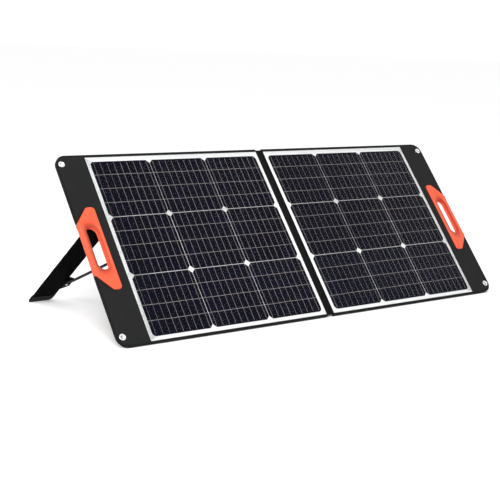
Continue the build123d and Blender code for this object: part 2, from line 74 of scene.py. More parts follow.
# %% [markdown]
# ## Work flat, then lean
# A leaning board is hard to think about. So every soft or moulded piece is drawn flat, with X across the
# panel, Y up its slope and Z out of its front, and one matrix leans it. The fold line of the spine runs
# up the slope, so its joint gives the angle, and the edge of the board gives the starting point.

# %% The panel's own directions
ACROSS = Vector((1, 0, 0))
UP = -Vector(joints["right_half_fold"]["axis"])
OUT = ACROSS.cross(UP)


def reach(node, axis, start=0.0):
    """Lowest and highest point of a node along an axis, counted from a start."""
    along = [v.co.dot(axis) - start for v in nodes[node].data.vertices]
    return min(along), max(along)


BOTTOM = reach("right_edge_binding", UP)[0]
FACE = reach("right_front_cover", OUT)[1]
PANEL = Matrix((ACROSS, UP, OUT)).transposed().to_4x4()
PANEL.translation = UP * BOTTOM + OUT * FACE
TO_FLAT = PANEL.inverted()
HALF_W = reach("right_edge_binding", ACROSS)[1]
HEIGHT = reach("right_edge_binding", UP, BOTTOM)[1]
BACK = reach("right_back_cover", OUT, FACE)[0]
print(f"board {2 * HALF_W:.3f} x {HEIGHT:.3f} m, {-BACK * 1000:.1f} mm thick")

# %% [markdown]
# ## The camera
# The panel is seen from its left end, from a little above the top edge and a long way off, so the lens is
# long. The camera also rolls by about two degrees. It comes first, because it is what every look is
# judged by. Its place is counted from the middle of the board's bottom edge.

# %% Place the camera
CAMERA_PLACE = Vector((-1.7034, -1.9413, 0.6710))
CAMERA_AIM = Vector((0.5839, 0.7881, -0.1947))
CAMERA_ROLL = math.radians(2.4)
CAMERA_LENS = 75.22
SENSOR_W = 36

camera = bpy.data.objects.new("camera", bpy.data.cameras.new("camera"))
bpy.context.scene.collection.objects.link(camera)
camera.data.lens = CAMERA_LENS
camera.data.sensor_width = SENSOR_W
turn = CAMERA_AIM.to_track_quat("-Z", "Y").to_matrix().to_4x4()
roll = Matrix.Rotation(CAMERA_ROLL, 4, "Z")
camera.matrix_world = Matrix.Translation(PANEL.translation + CAMERA_PLACE) @ turn @ roll
bpy.context.scene.camera = camera
print("lens", CAMERA_LENS, "mm")

# %% [markdown]
# ## Studio light
# A white room gives black fabric and dark cells an even, soft light with no hard reflections. One large
# lamp on the left models the round handles, and a floor that is nearly white runs out of sight.

# %% Light and floor
ROOM_LIGHT = 1.06
KEY_WATTS = 150
KEY_PLACE = Vector((-2.2, -2.4, 2.6))
KEY_SIZE = 2.5
FLOOR_SIZE = 60

scene = bpy.context.scene
scene.view_settings.view_transform = "Standard"
world = bpy.data.worlds.new("room")
world.use_nodes = True
world.node_tree.nodes["Background"].inputs["Color"].default_value = (1, 1, 1, 1)
world.node_tree.nodes["Background"].inputs["Strength"].default_value = ROOM_LIGHT
scene.world = world

key = bpy.data.objects.new("key_light", bpy.data.lights.new("key_light", "AREA"))
key.data.energy = KEY_WATTS
key.data.size = KEY_SIZE
key.location = KEY_PLACE
key.rotation_euler = (-KEY_PLACE).to_track_quat("-Z", "Y").to_euler()
scene.collection.objects.link(key)

# %% [markdown]
# ## Shader sums as plain sums
# A finish is a small program. To write it as one, a socket is wrapped in a class whose plus and times add
# the Math nodes. Any other node comes from one method, which takes its kind, its settings and its inputs.


# %% Wrap sockets and materials
class Number:
    """A number that changes over a surface. Arithmetic on it adds Math nodes."""

    def __init__(self, finish, socket):
        self.finish = finish
        self.socket = socket

    def maths(self, operation, *terms):
        return self.finish.node("ShaderNodeMath", {"operation": operation}, dict(enumerate(terms)))

    def __add__(self, other):
        return self.maths("ADD", self, other)

    def __sub__(self, other):
        return self.maths("SUBTRACT", self, other)

    def __rsub__(self, other):
        return self.maths("SUBTRACT", other, self)

    def __mul__(self, other):
        return self.maths("MULTIPLY", self, other)

    def __truediv__(self, other):
        return self.maths("DIVIDE", self, other)

    def __lt__(self, other):
        return self.maths("LESS_THAN", self, other)

    def part(self):
        return self.maths("FRACT", self)

    def size(self):
        return self.maths("ABSOLUTE", self)

    def wave(self):
        return self.maths("SINE", self)

    def whole(self):
        return self.maths("FLOOR", self)

    __radd__ = __add__
    __rmul__ = __mul__


class Finish:
    """A material, with the shader's steady values set on its own sockets."""

    def __init__(self, name, colour, roughness, **steady):
        self.material = bpy.data.materials.new(name)
        self.material.use_nodes = True
        self.tree = self.material.node_tree
        self.shader = self.tree.nodes["Principled BSDF"]
        self.set("Base Color", (*colour, 1))
        self.set("Roughness", roughness)
        for socket, value in steady.items():
            self.set(socket.replace("_", " "), value)

    def set(self, socket, value):
        """Give one socket of the shader a steady value or a changing one."""
        self.fill(self.shader, {socket: value})

    def fill(self, node, values):
        for socket, value in values.items():
            if isinstance(value, Number):
                self.tree.links.new(value.socket, node.inputs[socket])
            else:
                node.inputs[socket].default_value = value

    def node(self, kind, settings, values, output=0):
        """Any node: its settings first, then its inputs. Returns one output."""
        made = self.tree.nodes.new(kind)
        for setting, value in settings.items():
            setattr(made, setting, value)
        self.fill(made, values)
        return Number(self, made.outputs[output])

    def place(self):
        """The point on the piece, in metres, as it was made."""
        return self.node("ShaderNodeTexCoord", {}, {}, "Object")

    def along(self, direction, start=0.0):
        """Distance of the point along a direction, in metres."""
        values = {0: self.place(), 1: tuple(direction)}
        return self.node("ShaderNodeVectorMath", {"operation": "DOT_PRODUCT"}, values, "Value") - start

    def cloud(self, scale, detail=2.0):
        """Soft random patches, about 1/scale metres across."""
        values = {"Vector": self.place(), "Scale": scale, "Detail": detail}
        return self.node("ShaderNodeTexNoise", {}, values)

    def mix(self, share, first, second):
        """From the first colour to the second."""
        settings = {"data_type": "RGBA"}
        return self.node("ShaderNodeMix", settings, {0: share, 6: first, 7: second}, 2)

    def colours(self, share, dark, light):
        self.set("Base Color", self.mix(share, (*dark, 1), (*light, 1)))

    def bump(self, height, depth_mm, strength=1.0):
        values = {"Height": height, "Distance": depth_mm * MM, "Strength": strength}
        self.set("Normal", self.node("ShaderNodeBump", {}, values))


TURN = 2 * math.pi
print("shader helpers ready")

# %% [markdown]
# ## Cloth finishes
# Coated polyester is two sets of threads at right angles. Two sine waves, one along each set, make the
# relief of the weave, and soft noise stops it from looking printed. Webbing has broad ribs across it
# instead. The fabric is nearly black, so most of what is seen is its faint gloss, which is kept low.


# %% Cloth
RIB_PITCH = 1.7 * MM
TAPE_THREAD = 0.9 * MM


def weave(finish, first, second, pitch_mm):
    """Height of a plain weave with threads along two directions."""
    turns = TURN / (pitch_mm * MM)
    return (finish.along(first) * turns).wave() * (finish.along(second) * turns).wave()


def cloth(name, dark, light, pitch_mm, depth_mm, gloss=0.2):
    """Woven cloth between two colours, with threads at one pitch."""
    finish = Finish(name, dark, 0.78, Specular_IOR_Level=gloss)
    finish.colours(finish.cloud(38.0), dark, light)
    relief = weave(finish, ACROSS, UP + OUT, pitch_mm) + finish.cloud(260.0)
    finish.bump(relief, depth_mm)
    finish.set("Roughness", finish.cloud(90.0) * 0.12 + 0.70)
    return finish.material


def webbing(name, dark, light, run):
    """Tape with ribs across its run."""
    finish = Finish(name, dark, 0.72, Specular_IOR_Level=0.12)
    ribs = (finish.along(run) * (TURN / RIB_PITCH)).wave()
    threads = (finish.along(ACROSS) * (TURN / TAPE_THREAD)).wave()
    finish.colours(ribs * 0.35 + finish.cloud(55.0) * 0.6, dark, light)
    finish.bump(ribs + threads * 0.5, 0.12)
    return finish.material


GREY_FABRIC = cloth("grey_fabric", (0.0065, 0.0067, 0.0069), (0.0098, 0.0100, 0.0102), 1.1, 0.06, 0.13)
LEG_FABRIC = cloth("leg_fabric", (0.0008, 0.0008, 0.0008), (0.0016, 0.0016, 0.0016), 1.0, 0.05, 0.03)
SPINE_FABRIC = cloth("spine_fabric", (0.002, 0.002, 0.0021), (0.0045, 0.0045, 0.0046), 1.4, 0.08, 0.08)
BINDING = webbing("binding_tape", (0.0018, 0.0018, 0.0018), (0.0045, 0.0045, 0.0047), UP)
WEBBING = webbing("black_webbing", (0.004, 0.004, 0.004), (0.010, 0.010, 0.0105), UP)
THREAD = cloth("thread", (0.010, 0.010, 0.0105), (0.022, 0.022, 0.023), 0.5, 0.05)

# %% [markdown]
# ## Laminate finishes
# A cell is a slice of silicon, nearly black with a blue-violet cast. Silver is printed on it: hair-thin
# fingers up close, and here a bright line at each quarter of a cell. Each cell comes from another wafer,
# so its colour is shifted a little. The white sheet behind it stays plain. The film over it all is clear,
# and not quite flat, so it is mostly transparent with a weak mirror on top.

# %% Cells, carrier sheet, ribbons and film
ARRAY_LOW, ARRAY_HIGH = reach("right_solar_cells", UP, BOTTOM)
ARRAY_START = reach("right_solar_cells", ACROSS)[0]
ROWS = 3
END_TRIM = 0.01  # the last row has no gap after it, so the array is just under three pitches
PITCH = (ARRAY_HIGH - ARRAY_LOW) / (ROWS - END_TRIM)
LINE_PITCH = PITCH / 4
LINE_W = 1.0 * MM
LINE_WANDER = 1.6 * MM
FINGER_PITCH = 1.9 * MM
FINGER_W = 0.06 * MM


def stripes(distance, pitch, width):
    """1 on lines of one width at one pitch, and 0 between them."""
    off_centre = ((distance / pitch + 0.5).part() - 0.5).size() * pitch
    return off_centre < width / 2


def cell_finish():
    finish = Finish("solar_cells", (0.006, 0.0055, 0.014), 0.32, Specular_IOR_Level=0.04)
    up = finish.along(UP, BOTTOM + ARRAY_LOW) + (finish.cloud(14.0) - 0.5) * LINE_WANDER
    across = finish.along(ACROSS).size() - ARRAY_START
    cell = (across / PITCH).whole() * 7.3 + (up / PITCH).whole() * 3.1
    shade = (cell * 1.7).wave() * 0.25 + finish.cloud(6.0) * 0.9
    silicon = finish.mix(shade, (0.0010, 0.0006, 0.0040, 1), (0.0028, 0.0042, 0.0100, 1))
    fingers = stripes(up, FINGER_PITCH, FINGER_W) * 0.10
    lines = stripes(up, LINE_PITCH, LINE_W)
    silicon = finish.mix(fingers, silicon, (0.10, 0.10, 0.12, 1))
    finish.set("Base Color", finish.mix(lines, silicon, (0.21, 0.192, 0.195, 1)))
    finish.set("Roughness", finish.cloud(30.0) * 0.15 + 0.25)
    return finish.material


def sheet_finish():
    finish = Finish("carrier_sheet", (0.80, 0.81, 0.81), 0.4, Specular_IOR_Level=0.3)
    finish.colours(finish.cloud(9.0), (0.62, 0.63, 0.63), (0.72, 0.73, 0.73))
    finish.bump(finish.cloud(500.0), 0.02)
    return finish.material


def ribbon_finish():
    finish = Finish("cell_ribbon", (0.42, 0.40, 0.41), 0.38, Metallic=0.5)
    finish.colours(finish.cloud(60.0), (0.13, 0.12, 0.125), (0.27, 0.25, 0.245))
    finish.bump(finish.cloud(900.0), 0.02)
    return finish.material


def film_finish():
    """Clear film: transparent, with a weak and soft mirror on top."""
    finish = Finish("clear_film", (1, 1, 1), 0.3)
    dimples = {"Vector": finish.place(), "Scale": 45.0, "Detail": 2.0}
    height = finish.node("ShaderNodeTexNoise", {}, dimples)
    normal = finish.node("ShaderNodeBump", {}, {"Height": height, "Distance": 0.003 * MM})
    mirror = finish.node("ShaderNodeBsdfAnisotropic", {}, {"Roughness": 0.28, "Normal": normal})
    clear = finish.node("ShaderNodeBsdfTransparent", {}, {})
    edge = finish.node("ShaderNodeFresnel", {}, {"IOR": 1.15}) * 0.16
    mixed = finish.node("ShaderNodeMixShader", {}, {0: edge, 1: clear, 2: mirror})
    output = finish.tree.nodes["Material Output"]
    finish.fill(output, {"Surface": mixed})
    finish.tree.nodes.remove(finish.shader)
    return finish.material


CELLS = cell_finish()
CARRIER = sheet_finish()
RIBBON = ribbon_finish()
FILM = film_finish()
print(f"cell pitch {PITCH * 1000:.1f} mm, printed lines every {LINE_PITCH * 1000:.1f} mm")

# %% [markdown]
# ## Hard finishes
# Moulded plastic has a fine spark-eroded grain, and its colour and gloss drift a little. Nickel and steel
# are mirrors with a cloudy roughness. Rubber is dull. One function makes them all, because they differ only
# in colour, roughness, grain and metal.


# %% Plastics, metals and rubber
def hard(name, colour, roughness, grain=900.0, depth_mm=0.03, spread=0.12, **steady):
    """A hard surface with a fine grain. spread is how far its colour drifts."""
    finish = Finish(name, colour, roughness, **steady)
    dark = [c * (1 - spread) for c in colour]
    light = [min(1.0, c * (1 + spread)) for c in colour]
    finish.colours(finish.cloud(24.0), dark, light)
    finish.set("Roughness", finish.cloud(120.0) * 0.16 + (roughness - 0.08))
    finish.bump(finish.cloud(grain), depth_mm)
    return finish.material


ORANGE = hard("orange_plastic", (0.63, 0.070, 0.0235), 0.46, 1500.0, 0.02, 0.04, Specular_IOR_Level=0.4)
STEEL = hard("plain_steel", (0.62, 0.62, 0.61), 0.30, 700.0, 0.01, Metallic=1.0)
NICKEL = hard("eyelet_metal", (0.84, 0.84, 0.83), 0.20, 400.0, 0.01, 0.05, Metallic=1.0)
RUBBER = hard("black_rubber", (0.006, 0.006, 0.006), 0.62, 1200.0, 0.04, Specular_IOR_Level=0.2)
BLACK_PLASTIC = hard("black_plastic", (0.012, 0.012, 0.0125), 0.48, 1600.0, 0.05, Specular_IOR_Level=0.35)
SOCKET = hard("socket_plastic", (0.018, 0.018, 0.019), 0.35, 1600.0, 0.02)
LEAD = hard("lead_jacket", (0.016, 0.016, 0.016), 0.5)
CORE = hard("core_board", (0.24, 0.24, 0.235), 0.8, 500.0, 0.05)
CIRCUIT = hard("circuit_board", (0.02, 0.11, 0.045), 0.35, 300.0, 0.03)
LENS = hard("lamp_lens", (0.05, 0.45, 0.10), 0.15, 200.0, 0.01, Coat_Weight=0.5)
FLOOR = hard("studio_floor", (0.93, 0.93, 0.93), 0.7, 60.0, 0.05, 0.01, Specular_IOR_Level=0.0)

# %% [markdown]
# ## Meshes from points
# Each piece is a list of points in the flat panel and a list of faces. One function leans it, mirrors it
# for the left half, hangs it on the body that it moves with, and gives it its finish. A mirrored mesh is
# inside out, so its faces are turned round. A shape that needs cutting or filling is made as a bmesh first.


# %% Make, hang and finish a piece
def show(piece, material, slot):
    """Give a piece its finish and the name of its slot in the record."""
    piece.data.materials.clear()
    piece.data.materials.append(material)
    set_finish(piece, slot)
    return piece


def leaned(points, sign=1):
    """Flat points of the right half, leaned, and mirrored where the sign is -1."""
    return [PANEL @ Vector((sign * x, y, z)) for x, y, z in points]


def stand(name, mesh, material, slot):
    """Put a mesh in the scene as a smooth piece with its finish."""
    mesh.polygons.foreach_set("use_smooth", [True] * len(mesh.polygons))
    piece = bpy.data.objects.new(name, mesh)
    scene.collection.objects.link(piece)
    return show(piece, material, slot)


def make(name, points, faces, material, slot, body=None, flip=False):
    """A piece from points in the room. Without a body it is hung on nothing."""
    mesh = bpy.data.meshes.new(name)
    mesh.from_pydata(points, [], [face[::-1] for face in faces] if flip else faces)
    mesh.validate()
    piece = stand(name, mesh, material, slot)
    if body:
        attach(piece, body)
    return piece


def make_from(name, shape, material, slot):
    """A piece from a bmesh, which is used up."""
    mesh = bpy.data.meshes.new(name)
    shape.to_mesh(mesh)
    shape.free()
    return stand(name, mesh, material, slot)


def tube_faces(rings, count, closed=True):
    """Quads between rings of one count of points. A closed tube joins its last ring to its first."""
    faces = []
    for ring in range(rings if closed else rings - 1):
        for step in range(count):
            after = (step + 1) % count
            low = ring * count
            high = (ring + 1) % rings * count
            faces.append((low + step, low + after, high + after, high + step))
    return faces


floor_corners = [(x * FLOOR_SIZE, y * FLOOR_SIZE, 0) for x, y in ((-1, -1), (1, -1), (1, 1), (-1, 1))]
floor = make("floor", floor_corners, [(0, 1, 2, 3)], FLOOR, "white_backsheet")
del floor["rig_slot"]  # the floor isn't part of the panel, so it needs no slot
print("floor", 2 * FLOOR_SIZE, "m wide")

# %% [markdown]
# ## Parts that keep their engineering shape
# Cells, ribbons, films, bound edges, screws and the output box are already the right shape. They only
# need a finish, and the record's name of that finish is the same as the slot they were packed with.

# %% Finish the engineering parts
SLOT_OF = {part["node"]: part["material_slot"] for part in frame["record"]["subparts"]}
FINISH_OF = {
    "grey_fabric": GREY_FABRIC,
    "core_board": CORE,
    "black_binding": BINDING,
    "white_backsheet": CARRIER,
    "silicon_cells": CELLS,
    "tinned_ribbon": RIBBON,
    "clear_film": FILM,
    "orange_plastic": ORANGE,
    "plain_steel": STEEL,
    "eyelet_metal": NICKEL,
    "black_webbing": WEBBING,
    "black_leg_fabric": LEG_FABRIC,
    "black_rubber": RUBBER,
    "black_spine_fabric": SPINE_FABRIC,
    "lead_jacket": LEAD,
    "black_plastic": BLACK_PLASTIC,
    "green_board": CIRCUIT,
    "socket_plastic": SOCKET,
    "lamp_lens": LENS,
}
for name, part in nodes.items():
    show(part, FINISH_OF[SLOT_OF[name]], SLOT_OF[name])
print("finished", len(nodes), "engineering parts")

# %% [markdown]
# ## Cloth over the boards
# The covers are cloth pulled over a board. Such cloth is never quite flat: it dips a little between the
# threads of glue and puckers towards its sewn edge. Each cover starts as the flat face of its engineering
# part, with every hole and round corner, is cut into small squares, and is then raised by soft noise.
# Solidify gives it the thickness of cloth.

# %% Covers
COVER_STEP = 9 * MM
COVER_T = 0.5 * MM
COVER_RISE = 0.35 * MM
RISE_WAVES = 14  # per metre
PUCKER = 0.25 * MM
PUCKER_WAVES = 90  # per metre
PUCKER_REACH = 9 * MM
WELD = 1e-6  # points closer than this, in metres, are one point


def slice_at(shape, direction, distance):
    """Cut every face of a bmesh that crosses a plane, and keep both sides."""
    everything = [*shape.verts, *shape.edges, *shape.faces]
    point = direction * distance
    bmesh.ops.bisect_plane(shape, geom=everything, plane_co=point, plane_no=direction, dist=WELD)


def cover_mesh(node, way):
    """The face of a node that looks one way, as a bmesh in the flat panel, cut into squares."""
    cloth_mesh = bmesh.new()
    cloth_mesh.from_mesh(nodes[node].data)
    cloth_mesh.transform(TO_FLAT)
    cloth_mesh.normal_update()
    hidden = [face for face in cloth_mesh.faces if face.normal.z * way < 0.9]
    bmesh.ops.delete(cloth_mesh, geom=hidden, context="FACES")
    bmesh.ops.remove_doubles(cloth_mesh, verts=cloth_mesh.verts, dist=WELD)
    bmesh.ops.dissolve_limit(cloth_mesh, angle_limit=0.02, verts=cloth_mesh.verts, edges=cloth_mesh.edges)
    for axis in (0, 1):
        places = [v.co[axis] for v in cloth_mesh.verts]
        cut = math.floor(min(places) / COVER_STEP) * COVER_STEP
        while cut < max(places):
            normal = Vector((1, 0, 0)) if axis == 0 else Vector((0, 1, 0))
            slice_at(cloth_mesh, normal, cut)
            cut += COVER_STEP
    bmesh.ops.triangulate(cloth_mesh, faces=[f for f in cloth_mesh.faces if len(f.verts) > 4])
    return cloth_mesh


def rise_at(x, y, fixed):
    """How far the cloth stands off its board: soft waves, and puckers along a sewn edge."""
    edge = min(HALF_W - abs(x), y, HEIGHT - y)
    broad = noise.noise(Vector((x * RISE_WAVES, y * RISE_WAVES, 3.0))) * 0.5 + 0.5
    folds = noise.noise(Vector((x * PUCKER_WAVES, y * PUCKER_WAVES, 8.0)))
    pucker = math.exp(-edge / PUCKER_REACH) * folds
    free = 0.0 if fixed else 1.0
    return free * (broad * COVER_RISE + pucker * PUCKER)


def cover(name, node, way, keep=None):
    """A cloth cover made from one face of a node. keep picks the squares that stay."""
    cloth_mesh = cover_mesh(node, way)
    if keep:
        gone = [face for face in cloth_mesh.faces if not keep(face.calc_center_median())]
        bmesh.ops.delete(cloth_mesh, geom=gone, context="FACES")
    area = sum(face.calc_area() for face in cloth_mesh.faces)
    across = [v.co.x for v in cloth_mesh.verts]
    up = [v.co.y for v in cloth_mesh.verts]
    flat = (max(across) - min(across), max(up) - min(up))
    for v in cloth_mesh.verts:
        v.co.z += way * rise_at(v.co.x, v.co.y, v.is_boundary)
    cloth_mesh.transform(PANEL)
    piece = make_from(name, cloth_mesh, GREY_FABRIC, "grey_fabric")
    thick = piece.modifiers.new("thickness", "SOLIDIFY")
    thick.thickness = COVER_T
    thick.offset = -1
    return piece, flat, area


LAMINATE_END = reach("right_backsheet", ACROSS)[1]
for side, sign in SIDES:
    body = side + "_half"
    front_cover = side + "_front_cover"
    end_strip, flat, area = cover(side + "_end_strip", front_cover, 1, lambda p: abs(p.x) > LAMINATE_END)
    border, _, _ = cover(side + "_front_border", front_cover, 1, lambda p: abs(p.x) <= LAMINATE_END)
    rear, rear_flat, rear_area = cover(side + "_rear_cloth", side + "_back_cover", -1)
    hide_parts(front_cover)
    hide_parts(front_cover)
    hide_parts(side + "_back_cover")
    for piece in (end_strip, border, rear):
        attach(piece, body)
print(f"rear cloth {rear_flat[0]:.3f} x {rear_flat[1]:.3f} m, end strip {flat[0]:.3f} x {flat[1]:.3f} m")

# %% [markdown]
# ## Drawing outlines
# A moulded outline is a list of corners, each with a radius. The loop is sampled at an even step, so that
# rings made from it line up. The normal at each sample points to the left of travel. On an outer outline,
# which runs anticlockwise, that is into the plastic.


# %% Outlines
ARC_STEPS = 8
FEWEST_POINTS = 12


def rounded(corners, step):
    """A closed loop through corners, each (x, y, radius), sampled at an even step."""
    loop = []
    for k, (x, y, radius) in enumerate(corners):
        here = Vector((x, y))
        before = (Vector(corners[k - 1][:2]) - here).normalized()
        after = (Vector(corners[(k + 1) % len(corners)][:2]) - here).normalized()
        half = before.angle(after) / 2
        centre = here + (before + after).normalized() * (radius / math.sin(half))
        start = here + before * (radius / math.tan(half)) - centre
        sweep = (math.pi - 2 * half) / ARC_STEPS
        for turn in range(ARC_STEPS + 1):
            c = math.cos(sweep * turn)
            s = math.sin(sweep * turn)
            loop.append(centre + Vector((start.x * c - start.y * s, start.x * s + start.y * c)))
    return even(loop, step)


def even(loop, step):
    """The same closed loop with its points an even step apart."""
    ends = loop[1:] + loop[:1]
    total = sum((b - a).length for a, b in zip(loop, ends))
    count = max(FEWEST_POINTS, round(total / step))
    points = []
    walked = 0.0
    for a, b in zip(loop, ends):
        length = (b - a).length
        while len(points) < count and len(points) * total / count < walked + length:
            points.append(a.lerp(b, (len(points) * total / count - walked) / length))
        walked += length
    return points


def left_normals(loop):
    """At each point, the direction to the left of travel."""
    normals = []
    for k in range(len(loop)):
        along = loop[(k + 1) % len(loop)] - loop[k - 1]
        normals.append(Vector((-along.y, along.x)).normalized())
    return normals


def ease(value):
    """From 0 to 1 with a soft start and end."""
    value = min(1.0, max(0.0, value))
    return value * value * (3 - 2 * value)


def blend_of(low, high, share):
    """The value a share of the way from low to high."""
    return low + (high - low) * share


print("outlines have", ARC_STEPS, "steps to a corner")

# %% [markdown]
# ## Moulded handles
# Each handle is two shells that are screwed together through the board. On the board they are a thin
# flange with a small round edge. Beside the hand hole they swell into a round rail, so the width of the
# rounding grows there, and behind the board its depth too. Each shell is built from rings, in from the
# outline and in from the hole's outline, with a flat face between them. The hole's outline runs
# anticlockwise too, so its rings lean into the hole: the free opening is narrower than HOLE_W by
# RAIL_EDGE and HOLE_EDGE together, and shorter than HOLE_H by twice HOLE_EDGE.

# %% Handles
HANDLE_Y = 254 * MM
HANDLE_TIP = 111 * MM
HANDLE_SIDE = 69 * MM
HANDLE_INSET = 57.5 * MM
HANDLE_TIP_W = 22 * MM
GRIP_W = 10.6 * MM
HOLE_W = 38.4 * MM
HOLE_H = 122 * MM
SIDE_CORNER = 6 * MM
TIP_CORNER = 9 * MM
CORNER_SLACK = 0.1 * MM
OUTER_STEP = 2.2 * MM
HOLE_STEP = 2.0 * MM
RAIL_LEAD = 1 * MM
RAIL_RAMP = 18 * MM
PART_Z = -4.45 * MM
FLANGE_LAP = 8.3 * MM
ROUND_STEPS = 8
FRONT = {"flange": -0.2, "top": 3.8, "rail_top": 3.8, "edge": 2.6}
REAR = {"flange": -8.8, "top": -10.2, "rail_top": -11.4, "edge": 1.2}
RAIL_EDGE = 4.8
HOLE_EDGE = 2.6
FAR = reach("right_handle_front", ACROSS)[1]


def outer_loop():
    """The outline of a handle, with its grip on the board's edge."""
    inner = HALF_W - HANDLE_INSET
    tip = inner + HANDLE_TIP_W
    top = HANDLE_Y + HANDLE_TIP
    bottom = HANDLE_Y - HANDLE_TIP
    corners = [(FAR, HANDLE_Y - HANDLE_SIDE, SIDE_CORNER), (FAR, HANDLE_Y + HANDLE_SIDE, SIDE_CORNER)]
    corners += [(tip, top, TIP_CORNER), (inner, top, TIP_CORNER)]
    corners += [(inner, bottom, TIP_CORNER), (tip, bottom, TIP_CORNER)]
    return rounded(corners, OUTER_STEP)


def hole_loop():
    """The outline of the hand hole where the two shells meet."""
    high = HALF_W - GRIP_W
    low = high - HOLE_W
    top = HANDLE_Y + HOLE_H / 2
    bottom = HANDLE_Y - HOLE_H / 2
    radius = HOLE_W / 2 - CORNER_SLACK
    corners = [(low, bottom, radius), (high, bottom, radius), (high, top, radius), (low, top, radius)]
    return rounded(corners, HOLE_STEP)


def rail_share(point):
    """1 on the rail, 0 on the flange."""
    beside = ease((HANDLE_SIDE + RAIL_LEAD - abs(point.y - HANDLE_Y)) / RAIL_RAMP)
    return beside * ease((point.x - (HALF_W - GRIP_W - HOLE_W / 2)) / (HOLE_W / 2))


def ring_rows(loop, normals, form, hole):
    """Rows of flat points that round one edge of a shell, from the joint between the shells to the face."""
    shares = [rail_share(p) for p in loop]
    rows = []
    if not hole:
        inward = [FLANGE_LAP * (1 - w) for w in shares]
        rows.append([(*(p + n * d), PART_Z) for p, n, d in zip(loop, normals, inward)])
        depths = [blend_of(form["flange"] * MM, PART_Z, w) for w in shares]
        rows.append([(*(p + n * d), z) for p, n, d, z in zip(loop, normals, inward, depths)])
    for step in range(ROUND_STEPS + 1):
        bend = step / ROUND_STEPS * math.pi / 2
        row = []
        for p, n, w in zip(loop, normals, shares):
            edge = blend_of(HOLE_EDGE if hole else form["edge"], RAIL_EDGE, w) * MM
            low = PART_Z if hole else blend_of(form["flange"] * MM, PART_Z, w)
            top = blend_of(form["top"], form["rail_top"], w) * MM
            row.append((*(p + n * edge * (1 - math.cos(bend))), low + (top - low) * math.sin(bend)))
        rows.append(row)
    return rows


def handle_shell(name, body, sign, form):
    """One shell of a handle: rings round both edges, and a face that closes each end of them."""
    shell = bmesh.new()
    ends = []
    for loop, is_hole in ((outer_loop(), False), (hole_loop(), True)):
        rows = []
        for row in ring_rows(loop, left_normals(loop), form, is_hole):
            rows.append([shell.verts.new((sign * x, y, z)) for x, y, z in row])
        for low, high in zip(rows, rows[1:]):
            for k in range(len(low)):
                after = (k + 1) % len(low)
                shell.faces.new((low[k], low[after], high[after], high[k]))
        ends.append((rows[0], rows[-1]))
    for level in (0, 1):
        edges = []
        for pair in ends:
            ring = pair[level]
            edges += [shell.edges.get((ring[k - 1], ring[k])) for k in range(len(ring))]
        bmesh.ops.triangle_fill(shell, use_beauty=True, edges=edges)
    bmesh.ops.remove_doubles(shell, verts=shell.verts, dist=WELD)
    bmesh.ops.recalc_face_normals(shell, faces=shell.faces)
    shell.transform(PANEL)
    piece = make_from(name, shell, ORANGE, "orange_plastic")
    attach(piece, body)
    return piece


for side, sign in SIDES:
    front = handle_shell(side + "_handle_front_shell", side + "_half", sign, FRONT)
    rear = handle_shell(side + "_handle_rear_shell", side + "_half", sign, REAR)
    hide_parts(side + "_handle_front")
    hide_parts(side + "_handle_back")
print("handles have", len(front.data.vertices) + len(rear.data.vertices), "points a side")

# %% [markdown]
# ## Eyelets
# An eyelet is one profile turned round the bore: a rolled rim in front, a plain barrel through the board,
# and the same rim set against a washer behind.

# %% Eyelets
EYELET_PLACES = ((594.5, 25.0), (594.5, 490.0))
EYELET_PROFILE = (
    (8.2, 0.05), (8.15, 0.45), (7.8, 0.85), (7.2, 1.05), (6.4, 1.05), (5.6, 0.85), (5.05, 0.4), (4.8, -0.3),
    (4.8, -8.7), (5.05, -9.4), (5.6, -9.85), (6.4, -10.05), (7.3, -10.05), (8.1, -9.85), (8.55, -9.45),
    (8.6, -9.05), (5.6, -8.95), (5.6, -0.05),
)
EYELET_STEPS = 40


def lathe(places, profile, steps, sign):
    """Points and faces of a closed profile, turned about OUT at each place."""
    points = []
    faces = []
    for x, y in places:
        first = len(points)
        for step in range(steps):
            angle = TURN * step / steps
            for radius, depth in profile:
                here = (x + radius * math.cos(angle), y + radius * math.sin(angle), depth)
                points.append([MM * c for c in here])
        faces += [tuple(first + k for k in face) for face in tube_faces(steps, len(profile))]
    return leaned(points, sign), faces


for side, sign in SIDES:
    points, faces = lathe(EYELET_PLACES, EYELET_PROFILE, EYELET_STEPS, sign)
    rings = make(side + "_eyelet_rings", points, faces, NICKEL, "eyelet_metal", side + "_half", flip=sign > 0)
    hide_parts(side + "_eyelets", side + "_eyelet_washers")
print("eyelets turned with", EYELET_STEPS, "steps")

# %% [markdown]
# ## Fabric of the spine
# The two halves fold about lines beside the spine. The fabric in front of and behind the lines has to
# follow both, so each piece reaches from the middle of the spine into a board's binding, across its own fold
# line. It is hung on neither body, so it stays as it is made.

# %% Spine fabric
SPINE_REACH = 10.2 * MM
SPINE_T = 0.6 * MM
SPINE_INSET = 2.5 * MM
SPINE_RIPPLE = 0.25 * MM
SPINE_START = 6.8 * MM
SPINE_END = 9.6 * MM
SPINE_COLUMNS = 9
SPINE_ROWS = 128


